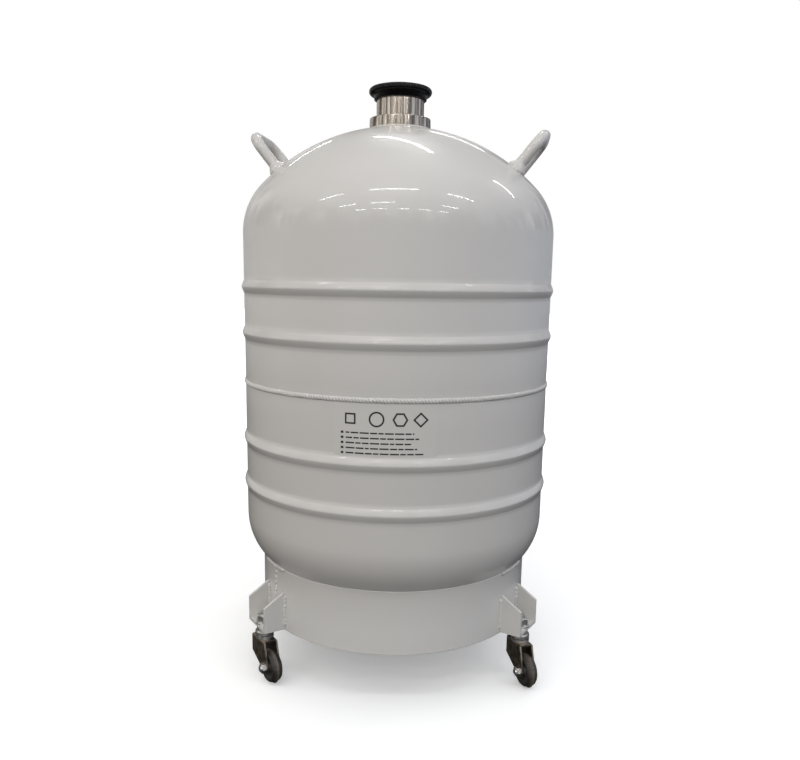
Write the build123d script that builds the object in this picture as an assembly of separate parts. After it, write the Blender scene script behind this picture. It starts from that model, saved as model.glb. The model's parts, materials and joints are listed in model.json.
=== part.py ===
from build123d import *
import math
import os

# A liquid nitrogen storage dewar on four swivel casters, in millimetres.
# +Z is up and -Y is the front. The origin is on the vessel's axis at floor level.

# Outer vessel: a straight side wall between two dished ends, with rolled ribs
SHELL_RADIUS = 227.5
SHELL_WALL = 2.0
TOP_END = {"crown": 276.0, "knuckle": 96.0, "pole": 799.0}
BOTTOM_END = {"crown": 420.0, "knuckle": 90.0, "pole": 112.0}
RIB_HEIGHTS = (283.2, 349.5, 504.4, 570.0)
RIB_WIDTH = 19.0
RIB_RISE = 3.5
GIRTH_HEIGHT = 433.2
GIRTH_WELD_WIDTH = 7.0
GIRTH_WELD_RISE = 1.6

# Inner vessel, hung from the neck tube inside a blanket of insulation
INNER_RADIUS = 196.0
INNER_WALL = 1.5
INNER_TOP_END = {"crown": 240.0, "knuckle": 75.0, "pole": 648.0}
INNER_BOTTOM_END = {"crown": 380.0, "knuckle": 75.0, "pole": 150.0}
INNER_SEAM_HEIGHT = 400.0
BLANKET_DEPTH = 22.0
BLANKET_TOP_JOINT = 540.0
BLANKET_BOTTOM_JOINT = 235.0

# Neck: a composite tube bonded into a turned fitting above and a ring below
NECK_BORE_RADIUS = 25.0
NECK_TUBE_RADIUS = 27.5
NECK_TOP = 846.0
COLLAR_RADIUS = 34.2
COLLAR_BOTTOM = 776.0
NECK_RING_RADIUS = 44.6
NECK_RING_TOP = 812.1
NECK_RING_CHAMFER = 1.2
NECK_WELD_REACH = 4.0
NECK_WELD_RISE = 2.4
INNER_RING_RADIUS = 33.0
INNER_RING_RISE = 22.0
ADSORBENT_RADIUS = 62.0
ADSORBENT_RISE = 15.0
ADSORBENT_ROOM = 2.0

# Lid: a moulded cap with a foam plug glued under it
CAP_RADIUS = 45.6
CAP_TOP = 854.4
CAP_RIM_BOTTOM = 844.0
CAP_SKIRT_RADIUS = 38.5
CAP_SKIRT_BOTTOM = 838.3
CAP_GAP = 0.5
PLUG_RADIUS = 23.5
PLUG_LENGTH = 150.0

# Lifting handles: bent round bars that stand square on the top end
HANDLE_ANGLES = {"handle_left": 172.0, "handle_right": -8.0}
HANDLE_BAR_RADIUS = 8.0
HANDLE_WIDTH = 95.0
HANDLE_FOOT_RADIUS = 172.0
HANDLE_REACH = 57.0
HANDLE_BEND = 24.0
HANDLE_WELD_RADIUS = 12.5
HANDLE_WELD_RISE = 7.0

# Skirt under the vessel
SKIRT_RADIUS = 204.0
SKIRT_WALL = 3.0
SKIRT_BOTTOM = 79.2
SKIRT_WELD_RADIUS = 4.0
SKIRT_WELD_ARC = 17.0
SEAM_WELD_RADIUS = 2.6
SEAM_WELD_ANGLE = 213.0

# Label on the front of the lower half
LABEL_WIDTH = 134.0
LABEL_SHIFT = -13.0
LABEL_BOTTOM = 362.0
LABEL_TOP = 427.0
LABEL_THICKNESS = 0.3

# Evacuation nozzle under the middle of the bottom
NOZZLE_RADIUS = 10.0
NOZZLE_BORE = 7.0
NOZZLE_BOTTOM = 84.0
NOZZLE_SHOULDER = 110.0
NOZZLE_SPIGOT_RADIUS = 8.5
VALVE_RADIUS = 6.9
VALVE_GROOVE_RADIUS = 5.2
VALVE_BOTTOM = 88.0
VALVE_TOP = 104.0
SEAL_HEIGHT = 97.0
SEAL_SECTION = 0.88

# Caster brackets: two gusset plates and a floor plate, welded to the skirt
CASTER_ANGLES = {"front_left": 212.1, "front_right": -32.1, "rear_left": 147.9, "rear_right": 32.1}
BRACKET_OUTSIDE = 234.0
BRACKET_WIDTH = 59.0
BRACKET_PLATE = 4.0
BRACKET_BOTTOM = 80.8
BRACKET_TOP = 136.5
BRACKET_SHOULDER = 118.0
BRACKET_WELD_RADIUS = 3.5

# Casters. Each trails its wheel on its own heading.
SWIVEL_RADIUS = 222.0
CASTER_HEADINGS = {"front_left": -54.5, "front_right": -70.0, "rear_left": 100.0, "rear_right": 62.0}
TRAIL = 21.0
WHEEL_RADIUS = 25.0
TYRE_WIDTH = 13.6
TYRE_SHOULDER_RADIUS = 22.0
HUB_RADIUS = 17.0
HUB_WIDTH = 12.0
HUB_BOSS_RADIUS = 9.0
HUB_BOSS_WIDTH = 15.2
AXLE_RADIUS = 4.0
RUNNING_GAP = 0.05
FORK_TOP = 63.0
FORK_PLATE = 2.5
FORK_GAP = 16.4
FORK_FRONT = 20.0
FORK_BACK = -19.0
FORK_SHOULDER = 37.0
FORK_BEND = 2.4
FORK_EYE_RADIUS = 9.0
RACE_RADIUS = 13.4
RACE_THICKNESS = 4.6
RACE_SPACE = 1.0
BALL_RADIUS = 1.6
BALL_CIRCLE = 9.8
BALL_COUNT = 12
PIVOT_RADIUS = 5.0
PIVOT_HEAD_RADIUS = 7.5
PIVOT_HEAD_BOTTOM = 57.5
PIVOT_HEAD_TOP = 60.5
STUD_RADIUS = 6.0
STUD_TOP = 102.0
STUD_COLLAR_RADIUS = 11.0
STUD_WASHER_RADIUS = 12.5
STUD_WASHER_THICKNESS = 2.5
STUD_NUT_FLATS = 19.0
STUD_NUT_THICKNESS = 10.0
AXLE_NUT_FLATS = 13.0
AXLE_NUT_THICKNESS = 6.0
AXLE_HEAD_RADIUS = 6.5
AXLE_HEAD_THICKNESS = 3.5
AXLE_THREAD_END = 2.0

parts = {}


def ring(outer, inner, low, high):
    """A tube or washer about the Z axis."""
    middle = Pos(0, 0, (low + high) / 2)
    whole = middle * Cylinder(outer, high - low)
    return whole - middle * Cylinder(inner, 2 * (high - low))


def disc(radius, low, high):
    """A solid cylinder about the Z axis."""
    return Pos(0, 0, (low + high) / 2) * Cylinder(radius, high - low)


def turned(outline):
    """Revolve a closed outline of radius and height about the Z axis."""
    return revolve(Plane.XZ * make_face(outline), Axis.Z)


def about_z(angle):
    """Turn a shape about the vessel's axis."""
    return Rot(0, 0, angle)


def dished_end(side_radius, end, up, inset):
    """The crown and knuckle arcs of a dished end, tangent to each other and to the side wall."""
    knuckle_radius = side_radius - end["knuckle"]
    rise = math.sqrt((end["crown"] - end["knuckle"]) ** 2 - knuckle_radius**2)
    crown_height = end["pole"] - up * end["crown"]
    knuckle_height = crown_height + up * rise
    turn = math.degrees(math.atan2(knuckle_radius, rise))
    crown_start = 90 - turn if up > 0 else -90
    knuckle_start = 0 if up > 0 else turn - 90
    crown = CenterArc((0, crown_height), end["crown"] - inset, crown_start, turn)
    knuckle = CenterArc((knuckle_radius, knuckle_height), end["knuckle"] - inset, knuckle_start, 90 - turn)
    pole_height = end["pole"] - up * inset
    return crown + knuckle, knuckle_height, pole_height


def side_wall(radius, low, high, rib_heights):
    """The straight side wall, with one shallow arc for each rib."""
    wall = Curve()
    start = low
    for height in rib_heights:
        rib_low = height - RIB_WIDTH / 2
        rib_high = height + RIB_WIDTH / 2
        wall += Line((radius, start), (radius, rib_low))
        wall += ThreePointArc((radius, rib_low), (radius + RIB_RISE, height), (radius, rib_high))
        start = rib_high
    return wall + Line((radius, start), (radius, high))


def vessel(side_radius, top, bottom, inset, rib_heights=()):
    """The solid inside a vessel's outline, moved inwards by inset."""
    top_arcs, top_height, top_pole = dished_end(side_radius, top, 1, inset)
    bottom_arcs, bottom_height, bottom_pole = dished_end(side_radius, bottom, -1, inset)
    wall = side_wall(side_radius - inset, bottom_height, top_height, rib_heights)
    axis_line = Line((0, bottom_pole), (0, top_pole))
    return turned(top_arcs + wall + bottom_arcs + axis_line)


def cut_at(solid, height, keep):
    """Keep the part of a solid above or below a height."""
    return split(solid, Plane.XY.offset(height), keep=keep)


def make_outer_vessel():
    """The two welded halves of the painted shell, and the weld round the joint."""
    outside = vessel(SHELL_RADIUS, TOP_END, BOTTOM_END, 0, RIB_HEIGHTS)
    inside = vessel(SHELL_RADIUS, TOP_END, BOTTOM_END, SHELL_WALL, RIB_HEIGHTS)
    neck_hole = disc(COLLAR_RADIUS, GIRTH_HEIGHT, CAP_TOP)
    nozzle_hole = disc(NOZZLE_SPIGOT_RADIUS, 0, GIRTH_HEIGHT)
    shell = outside - inside - neck_hole - nozzle_hole
    parts["upper_shell"] = cut_at(shell, GIRTH_HEIGHT, Keep.TOP)
    parts["lower_shell"] = cut_at(shell, GIRTH_HEIGHT, Keep.BOTTOM)
    low = GIRTH_HEIGHT - GIRTH_WELD_WIDTH / 2
    high = GIRTH_HEIGHT + GIRTH_WELD_WIDTH / 2
    crest = (SHELL_RADIUS + GIRTH_WELD_RISE, GIRTH_HEIGHT)
    bead = ThreePointArc((SHELL_RADIUS, low), crest, (SHELL_RADIUS, high))
    parts["girth_weld"] = turned(bead + Line((SHELL_RADIUS, high), (SHELL_RADIUS, low)))
    return outside


def make_inner_vessel():
    """The two halves of the inner vessel, its seam weld, its neck ring and what is wrapped round it."""
    ends = (INNER_TOP_END, INNER_BOTTOM_END)
    outside = vessel(INNER_RADIUS, *ends, 0)
    inside = vessel(INNER_RADIUS, *ends, INNER_WALL)
    pole = INNER_TOP_END["pole"]
    shell = outside - inside - disc(INNER_RING_RADIUS, INNER_SEAM_HEIGHT, NECK_TOP)
    parts["inner_vessel_top"] = cut_at(shell, INNER_SEAM_HEIGHT, Keep.TOP)
    parts["inner_vessel_bottom"] = cut_at(shell, INNER_SEAM_HEIGHT, Keep.BOTTOM)
    half_seam = GIRTH_WELD_WIDTH / 2
    seam = (INNER_SEAM_HEIGHT - half_seam, INNER_SEAM_HEIGHT + half_seam)
    parts["inner_weld"] = ring(INNER_RADIUS + 1, INNER_RADIUS, *seam)
    ring_bottom = pole - 2 * INNER_WALL
    ring_top = pole + INNER_RING_RISE
    parts["inner_neck_ring"] = ring(INNER_RING_RADIUS, NECK_TUBE_RADIUS, ring_bottom, ring_top)
    adsorbent = ring(ADSORBENT_RADIUS, INNER_RING_RADIUS, pole - ADSORBENT_RISE, pole + ADSORBENT_RISE)
    parts["adsorbent_ring"] = adsorbent - outside
    wrapped = vessel(INNER_RADIUS, *ends, -BLANKET_DEPTH)
    neck_room = disc(ADSORBENT_RADIUS + ADSORBENT_ROOM, INNER_SEAM_HEIGHT, NECK_TOP)
    weld_room = ring(INNER_RADIUS + ADSORBENT_ROOM, INNER_RADIUS - 1, seam[0] - 1, seam[1] + 1)
    blanket = wrapped - outside - neck_room - weld_room
    above_bottom = cut_at(blanket, BLANKET_BOTTOM_JOINT, Keep.TOP)
    parts["insulation_bottom_pad"] = cut_at(blanket, BLANKET_BOTTOM_JOINT, Keep.BOTTOM)
    parts["insulation_wrap"] = cut_at(above_bottom, BLANKET_TOP_JOINT, Keep.BOTTOM)
    parts["insulation_top_pad"] = cut_at(above_bottom, BLANKET_TOP_JOINT, Keep.TOP)
    return ring_bottom


def make_neck(outside, tube_bottom):
    """The ring and the weld round its foot, the turned collar and the composite neck tube."""
    neck_ring = ring(NECK_RING_RADIUS, COLLAR_RADIUS, COLLAR_BOTTOM, NECK_RING_TOP) - outside
    top_edge = neck_ring.edges().filter_by(GeomType.CIRCLE).sort_by(Axis.Z)[-2:].sort_by(SortBy.RADIUS)[-1]
    parts["neck_ring"] = chamfer(top_edge, NECK_RING_CHAMFER)
    crown_centre = TOP_END["pole"] - TOP_END["crown"]
    foot_height = crown_centre + math.sqrt(TOP_END["crown"] ** 2 - NECK_RING_RADIUS**2)
    weld_outline = Polyline(
        (NECK_RING_RADIUS, COLLAR_BOTTOM),
        (NECK_RING_RADIUS, foot_height + NECK_WELD_RISE),
        (NECK_RING_RADIUS + NECK_WELD_REACH, foot_height - 1),
        (NECK_RING_RADIUS + NECK_WELD_REACH, COLLAR_BOTTOM),
        (NECK_RING_RADIUS, COLLAR_BOTTOM),
    )
    parts["neck_weld"] = turned(weld_outline) - outside
    parts["neck_collar"] = ring(COLLAR_RADIUS, NECK_TUBE_RADIUS, COLLAR_BOTTOM, NECK_TOP)
    parts["neck_tube"] = ring(NECK_TUBE_RADIUS, NECK_BORE_RADIUS, tube_bottom, NECK_TOP)


def make_lid():
    """The cap, which rests on the collar and has a skirt round it, and the foam plug."""
    rim_depth = CAP_TOP - CAP_RIM_BOTTOM
    rim_start = CAP_RADIUS - rim_depth / 2
    recess = COLLAR_RADIUS + CAP_GAP
    outline = Line((0, CAP_TOP), (rim_start, CAP_TOP))
    outline += CenterArc((rim_start, CAP_TOP - rim_depth / 2), rim_depth / 2, -90, 180)
    below_rim = [
        (rim_start, CAP_RIM_BOTTOM),
        (CAP_SKIRT_RADIUS, CAP_RIM_BOTTOM),
        (CAP_SKIRT_RADIUS - 1, CAP_SKIRT_BOTTOM),
        (recess, CAP_SKIRT_BOTTOM),
        (recess, NECK_TOP),
        (0, NECK_TOP),
        (0, CAP_TOP),
    ]
    outline += Polyline(*below_rim)
    parts["lid_cap"] = turned(outline)
    parts["foam_plug"] = disc(PLUG_RADIUS, NECK_TOP - PLUG_LENGTH, NECK_TOP)


def make_handles(outside):
    """Two bent bars trimmed to the top end, and a fillet weld round each foot."""
    slope = math.asin(HANDLE_FOOT_RADIUS / TOP_END["crown"])
    foot_height = TOP_END["pole"] - TOP_END["crown"] * (1 - math.cos(slope))
    foot = Vector(HANDLE_FOOT_RADIUS, 0, foot_height)
    square = Vector(math.sin(slope), 0, math.cos(slope))
    half = Vector(0, HANDLE_WIDTH / 2, 0)
    root = foot - square * HANDLE_BEND
    tip = foot + square * HANDLE_REACH
    route = FilletPolyline(root - half, tip - half, tip + half, root + half, radius=HANDLE_BEND)
    section = Plane(origin=root - half, z_dir=square) * Circle(HANDLE_BAR_RADIUS)
    bar = sweep(section, path=route)
    weld_outline = Polyline(
        (0, -HANDLE_BEND),
        (HANDLE_WELD_RADIUS, -HANDLE_BEND),
        (HANDLE_WELD_RADIUS, 1),
        (HANDLE_BAR_RADIUS, HANDLE_WELD_RISE),
        (0, HANDLE_WELD_RISE),
        (0, -HANDLE_BEND),
    )
    collar = turned(weld_outline)
    core = disc(HANDLE_BAR_RADIUS, -2 * HANDLE_BEND, 2 * HANDLE_BEND)
    welds = []
    for name, angle in HANDLE_ANGLES.items():
        parts[name] = about_z(angle) * bar - outside
        for side in (-half, half):
            place = about_z(angle) * Plane(origin=foot + side, z_dir=square).location
            welds.append(place * (collar - core) - outside)
    parts["handle_welds"] = Compound(children=[weld.solid() for weld in welds])


def make_skirt(outside):
    """The skirt, its stitch welds under the vessel and the weld up its seam."""
    knuckle_height = dished_end(SHELL_RADIUS, BOTTOM_END, -1, 0)[1]
    parts["skirt"] = ring(SKIRT_RADIUS, SKIRT_RADIUS - SKIRT_WALL, SKIRT_BOTTOM, knuckle_height) - outside
    reach = SKIRT_RADIUS - SHELL_RADIUS + BOTTOM_END["knuckle"]
    top = knuckle_height - math.sqrt(BOTTOM_END["knuckle"] ** 2 - reach**2)
    bead = Plane.XZ * Pos(SKIRT_RADIUS, top) * Circle(SKIRT_WELD_RADIUS)
    stitch = revolve(bead, Axis.Z, SKIRT_WELD_ARC) - parts["skirt"] - outside
    stitches = []
    for angle in CASTER_ANGLES.values():
        turned_stitch = about_z(angle - SKIRT_WELD_ARC / 2) * stitch
        stitches.append(turned_stitch.solids().sort_by(SortBy.VOLUME)[-1])
    parts["skirt_welds"] = Compound(children=stitches)
    seam_low = BRACKET_BOTTOM + 2 * BRACKET_PLATE
    seam_high = top - 2 * SKIRT_WELD_RADIUS
    seam = Pos(SKIRT_RADIUS, 0, 0) * disc(SEAM_WELD_RADIUS, seam_low, seam_high)
    seam -= disc(SKIRT_RADIUS, seam_low - 1, seam_high + 1)
    parts["skirt_seam_weld"] = about_z(SEAM_WELD_ANGLE) * seam


def make_label():
    """A thin sheet that follows the shell at the front."""
    width_angle = math.degrees(LABEL_WIDTH / SHELL_RADIUS)
    middle_angle = math.degrees(LABEL_SHIFT / SHELL_RADIUS) - 90
    height = LABEL_TOP - LABEL_BOTTOM
    centre = Pos(SHELL_RADIUS + LABEL_THICKNESS / 2, (LABEL_BOTTOM + LABEL_TOP) / 2)
    strip = Plane.XZ * centre * Rectangle(LABEL_THICKNESS, height)
    sheet = revolve(strip, Axis.Z, width_angle)
    parts["label_sheet"] = about_z(middle_angle - width_angle / 2) * sheet


def make_evacuation_nozzle():
    """The stub for a vacuum pump, with the valve plug and seal that close it."""
    nozzle_top = BOTTOM_END["pole"] + SHELL_WALL
    spigot = ring(NOZZLE_SPIGOT_RADIUS, NOZZLE_BORE, NOZZLE_SHOULDER, nozzle_top)
    parts["evacuation_nozzle"] = ring(NOZZLE_RADIUS, NOZZLE_BORE, NOZZLE_BOTTOM, NOZZLE_SHOULDER) + spigot
    groove = (SEAL_HEIGHT - 2 * SEAL_SECTION, SEAL_HEIGHT + 2 * SEAL_SECTION)
    body = disc(VALVE_RADIUS, VALVE_BOTTOM, VALVE_TOP)
    parts["evacuation_valve"] = body - ring(NOZZLE_RADIUS, VALVE_GROOVE_RADIUS, *groove)
    seal_radius = (NOZZLE_BORE + VALVE_GROOVE_RADIUS) / 2
    parts["evacuation_seal"] = Pos(0, 0, SEAL_HEIGHT) * Torus(seal_radius, SEAL_SECTION)


def bracket_shape():
    """One bracket, standing out along +X from the skirt."""
    root = SKIRT_RADIUS - BRACKET_WELD_RADIUS * 2
    half_width = BRACKET_WIDTH / 2
    gusset_outline = Polyline(
        (root, BRACKET_BOTTOM),
        (BRACKET_OUTSIDE, BRACKET_BOTTOM),
        (BRACKET_OUTSIDE, BRACKET_SHOULDER),
        (SKIRT_RADIUS, BRACKET_TOP),
        (root, BRACKET_TOP),
        (root, BRACKET_BOTTOM),
    )
    gusset = extrude(Plane.XZ * make_face(gusset_outline), BRACKET_PLATE)
    near_gusset = Pos(0, BRACKET_PLATE - half_width, 0) * gusset
    far_gusset = Pos(0, half_width, 0) * gusset
    floor_middle = Pos((root + BRACKET_OUTSIDE) / 2, 0, BRACKET_BOTTOM + BRACKET_PLATE / 2)
    floor = floor_middle * Box(BRACKET_OUTSIDE - root, BRACKET_WIDTH - BRACKET_PLATE, BRACKET_PLATE)
    stud_hole = Pos(SWIVEL_RADIUS, 0, 0) * disc(STUD_RADIUS + RUNNING_GAP, 0, BRACKET_TOP)
    skirt_space = disc(SKIRT_RADIUS, 0, GIRTH_HEIGHT)
    return near_gusset + far_gusset + floor - stud_hole - skirt_space


def bracket_weld_shapes(bracket):
    """The fillet welds up both sides of each gusset, cut to the bracket and the skirt."""
    half_width = BRACKET_WIDTH / 2
    low = BRACKET_BOTTOM + BRACKET_PLATE + 1
    high = BRACKET_TOP - BRACKET_PLATE
    offsets = (-half_width, BRACKET_PLATE - half_width, half_width - BRACKET_PLATE, half_width)
    welds = []
    for offset in offsets:
        corner = math.sqrt(SKIRT_RADIUS**2 - offset**2)
        bead = Pos(corner, offset, 0) * disc(BRACKET_WELD_RADIUS, low, high)
        bead = bead - bracket - disc(SKIRT_RADIUS, 0, GIRTH_HEIGHT)
        welds.append(bead.solids().sort_by(SortBy.VOLUME)[-1])
    return welds


def hexagon(flats, thickness, bore):
    """A hexagon nut lying on the XY plane, with its corners turned off at 30 degrees."""
    corner = flats / math.sqrt(3)
    blank = extrude(RegularPolygon(corner, 6), thickness)
    overhang = corner - flats / 2
    drop = overhang * math.tan(math.radians(30))
    turned_blank = turned(
        Polyline(
            (0, 0),
            (flats / 2, 0),
            (corner, drop),
            (corner, thickness - drop),
            (flats / 2, thickness),
            (0, thickness),
            (0, 0),
        )
    )
    return (blank & turned_blank) - disc(bore, -1, thickness + 1)


def fork_shape():
    """A top plate and two tapered cheeks. The swivel axis is Z, and the wheel trails along +X."""
    eye = Pos(TRAIL, WHEEL_RADIUS) * Circle(FORK_EYE_RADIUS)
    shoulder_size = (FORK_FRONT - FORK_BACK, FORK_TOP - FORK_SHOULDER)
    shoulder_middle = Pos(-(FORK_FRONT + FORK_BACK) / 2, (FORK_TOP + FORK_SHOULDER) / 2)
    shoulder = shoulder_middle * Rectangle(*shoulder_size)
    cheek = extrude(Plane.XZ * make_hull(eye.edges() + shoulder.edges()), FORK_PLATE)
    near_cheek = Pos(0, -FORK_GAP / 2, 0) * cheek
    far_cheek = Pos(0, FORK_GAP / 2 + FORK_PLATE, 0) * cheek
    top_middle = Pos(-(FORK_FRONT + FORK_BACK) / 2, 0, FORK_TOP - FORK_PLATE / 2)
    top = top_middle * Box(FORK_FRONT - FORK_BACK, FORK_GAP + 2 * FORK_PLATE, FORK_PLATE)
    folded = near_cheek + far_cheek + top
    bends = folded.edges().filter_by(Axis.X).group_by(Axis.Z)[-1]
    folded = fillet(bends, FORK_BEND)
    pivot_hole = disc(PIVOT_RADIUS + RUNNING_GAP, PIVOT_HEAD_TOP, FORK_TOP + 1)
    axle_hole = Pos(TRAIL, 0, WHEEL_RADIUS) * Rot(90, 0, 0) * Cylinder(AXLE_RADIUS, 2 * FORK_GAP)
    return folded - pivot_hole - axle_hole


def stem_shape():
    """The pivot pin, the upper bearing race and the threaded stud, fixed in the bracket."""
    upper_race_bottom = FORK_TOP + RACE_THICKNESS + RACE_SPACE
    upper_race_top = upper_race_bottom + RACE_THICKNESS
    stem = disc(PIVOT_HEAD_RADIUS, PIVOT_HEAD_BOTTOM, PIVOT_HEAD_TOP)
    stem += disc(PIVOT_RADIUS, PIVOT_HEAD_TOP, upper_race_bottom)
    stem += disc(RACE_RADIUS, upper_race_bottom, upper_race_top)
    stem += disc(STUD_COLLAR_RADIUS, upper_race_top, BRACKET_BOTTOM)
    stem += disc(STUD_RADIUS, BRACKET_BOTTOM, STUD_TOP)
    return stem - ball_track()


def ball_track():
    """The space that the bearing balls run in."""
    height = FORK_TOP + RACE_THICKNESS + RACE_SPACE / 2
    return Pos(0, 0, height) * Torus(BALL_CIRCLE, BALL_RADIUS + RUNNING_GAP)


def bearing_shapes():
    """The lower race, which lies on the fork, and the balls."""
    race = ring(RACE_RADIUS, PIVOT_RADIUS + 10 * RUNNING_GAP, FORK_TOP, FORK_TOP + RACE_THICKNESS)
    pieces = [race - ball_track()]
    height = FORK_TOP + RACE_THICKNESS + RACE_SPACE / 2
    for number in range(BALL_COUNT):
        pieces.append(about_z(360 * number / BALL_COUNT) * Pos(BALL_CIRCLE, 0, height) * Sphere(BALL_RADIUS))
    return pieces


def wheel_place():
    """From an axle along Z at the origin to the axle's place in the caster."""
    return Pos(TRAIL, 0, WHEEL_RADIUS) * Rot(90, 0, 0)


def axle_shapes():
    """The axle bolt with its round head, and the nut on its other end."""
    outside = FORK_GAP / 2 + FORK_PLATE
    bolt_end = outside + AXLE_NUT_THICKNESS + AXLE_THREAD_END
    bolt = disc(AXLE_RADIUS, -outside, bolt_end)
    bolt += disc(AXLE_HEAD_RADIUS, -outside - AXLE_HEAD_THICKNESS, -outside)
    nut = Pos(0, 0, outside) * hexagon(AXLE_NUT_FLATS, AXLE_NUT_THICKNESS, AXLE_RADIUS)
    return [wheel_place() * bolt, wheel_place() * nut]


def hub_shape():
    """The wheel's centre, with a boss that keeps it off the fork."""
    hub = disc(HUB_RADIUS, -HUB_WIDTH / 2, HUB_WIDTH / 2)
    hub += disc(HUB_BOSS_RADIUS, -HUB_BOSS_WIDTH / 2, HUB_BOSS_WIDTH / 2)
    return wheel_place() * (hub - disc(AXLE_RADIUS + RUNNING_GAP, -HUB_BOSS_WIDTH, HUB_BOSS_WIDTH))


def tyre_shape():
    """A solid rubber tyre with a crowned tread."""
    half = TYRE_WIDTH / 2
    tread = ThreePointArc((TYRE_SHOULDER_RADIUS, -half), (WHEEL_RADIUS, 0), (TYRE_SHOULDER_RADIUS, half))
    inside = Polyline(
        (TYRE_SHOULDER_RADIUS, half),
        (HUB_RADIUS, half),
        (HUB_RADIUS, -half),
        (TYRE_SHOULDER_RADIUS, -half),
    )
    return wheel_place() * turned(tread + inside)


def make_casters():
    """Four brackets with their welds, and a caster bolted into each."""
    bracket = bracket_shape()
    welds = bracket_weld_shapes(bracket)
    floor_top = BRACKET_BOTTOM + BRACKET_PLATE
    washer_top = floor_top + STUD_WASHER_THICKNESS
    stud_clearance = STUD_RADIUS + RUNNING_GAP
    washer = ring(STUD_WASHER_RADIUS, stud_clearance, floor_top, washer_top)
    nut = Pos(0, 0, washer_top) * hexagon(STUD_NUT_FLATS, STUD_NUT_THICKNESS, stud_clearance)
    shapes = {
        "caster_stem": [stem_shape()],
        "caster_bearing": bearing_shapes(),
        "caster_fork": [fork_shape()],
        "caster_axle": axle_shapes(),
        "wheel_hub": [hub_shape()],
        "wheel_tyre": [tyre_shape()],
    }
    all_welds = []
    washers = []
    nuts = []
    for corner, angle in CASTER_ANGLES.items():
        at_bracket = about_z(angle)
        swivel = at_bracket * Pos(SWIVEL_RADIUS, 0, 0)
        facing = swivel * about_z(CASTER_HEADINGS[corner] - angle)
        parts[f"caster_bracket_{corner}"] = at_bracket * bracket
        all_welds += [at_bracket * weld for weld in welds]
        washers.append(swivel * washer)
        nuts.append(swivel * nut)
        for name, pieces in shapes.items():
            placed = [facing * piece for piece in pieces]
            parts[f"{name}_{corner}"] = Compound(children=[piece.solid() for piece in placed])
    parts["bracket_welds"] = Compound(children=[weld.solid() for weld in all_welds])
    parts["stud_washers"] = Compound(children=[piece.solid() for piece in washers])
    parts["stud_nuts"] = Compound(children=[piece.solid() for piece in nuts])


outer_space = make_outer_vessel()
make_neck(outer_space, make_inner_vessel())
make_lid()
make_handles(outer_space)
make_skirt(outer_space)
make_label()
make_evacuation_nozzle()
make_casters()

os.makedirs("parts", exist_ok=True)
for part_name, shape in parts.items():
    export_step(shape, f"parts/{part_name}.step")

inner_space = vessel(INNER_RADIUS, INNER_TOP_END, INNER_BOTTOM_END, INNER_WALL)
print("nodes", len(parts), "inner volume in litres", round(inner_space.volume / 1e6, 1))
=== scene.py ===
import json
import math

import bmesh
import bpy
from mathutils import Matrix, Vector, noise

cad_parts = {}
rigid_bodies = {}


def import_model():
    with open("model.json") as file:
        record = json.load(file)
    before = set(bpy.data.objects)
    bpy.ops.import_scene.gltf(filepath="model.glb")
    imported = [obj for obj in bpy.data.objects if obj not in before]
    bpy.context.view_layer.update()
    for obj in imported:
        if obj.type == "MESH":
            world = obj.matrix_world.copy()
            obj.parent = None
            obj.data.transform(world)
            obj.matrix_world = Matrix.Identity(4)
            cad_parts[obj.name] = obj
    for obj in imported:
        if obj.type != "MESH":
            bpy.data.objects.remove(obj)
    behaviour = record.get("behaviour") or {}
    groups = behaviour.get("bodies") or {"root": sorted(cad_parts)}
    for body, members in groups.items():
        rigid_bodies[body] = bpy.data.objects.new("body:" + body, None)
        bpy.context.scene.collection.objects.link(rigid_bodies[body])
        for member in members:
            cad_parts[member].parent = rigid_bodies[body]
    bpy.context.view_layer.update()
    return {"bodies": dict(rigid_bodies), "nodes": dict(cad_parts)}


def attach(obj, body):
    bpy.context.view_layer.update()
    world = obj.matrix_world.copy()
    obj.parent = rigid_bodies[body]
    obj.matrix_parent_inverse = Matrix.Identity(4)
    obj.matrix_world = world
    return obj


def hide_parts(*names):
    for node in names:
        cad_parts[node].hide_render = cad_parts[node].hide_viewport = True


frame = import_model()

MM = 0.001

# Sizes are in millimetres and angles in degrees, as in the CAD source, unless a comment says otherwise

# Painted shell
SHELL_RADIUS = 227.5
TOP_END = {"crown": 276.0, "knuckle": 96.0, "pole": 799.0}
BOTTOM_END = {"crown": 420.0, "knuckle": 90.0, "pole": 112.0}
RIB_HEIGHTS = (283.2, 349.5, 504.4, 570.0)
RIB_WIDTH = 19.0
RIB_RISE = 3.5
RIB_FULLNESS = 1.35
GIRTH_HEIGHT = 433.2
GIRTH_WELD_WIDTH = 8.0
GIRTH_WELD_RISE = 2.1
GIRTH_WELD_PITCH = 4.4
GIRTH_WELD_SINK = 1.6
WELD_PULL = 0.35
WELD_PULL_REACH = 16.0
UNEVEN_FADE = 60.0
WALL_ROW_SPACING = 6.0
SHELL_SEGMENTS = 480
CROWN_ROWS = 64
KNUCKLE_ROWS = 44
RIB_ROWS = 24

# Neck fittings and lid
COLLAR_RADIUS = 34.2
COLLAR_BOTTOM = 776.0
NECK_BORE_RADIUS = 27.5
NECK_TOP = 846.0
NECK_RING_RADIUS = 44.6
NECK_RING_TOP = 812.1
DOME_AT_RING = 793.0
CAP_RADIUS = 45.6
CAP_TOP = 854.4
CAP_RIM_BOTTOM = 844.0
CAP_SKIRT_RADIUS = 38.5
CAP_SKIRT_BOTTOM = 838.3
CAP_GRIPS = 64
CAP_GRIP_DEPTH = 0.9
PLUG_RADIUS = 23.5
PLUG_LENGTH = 150.0

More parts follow.
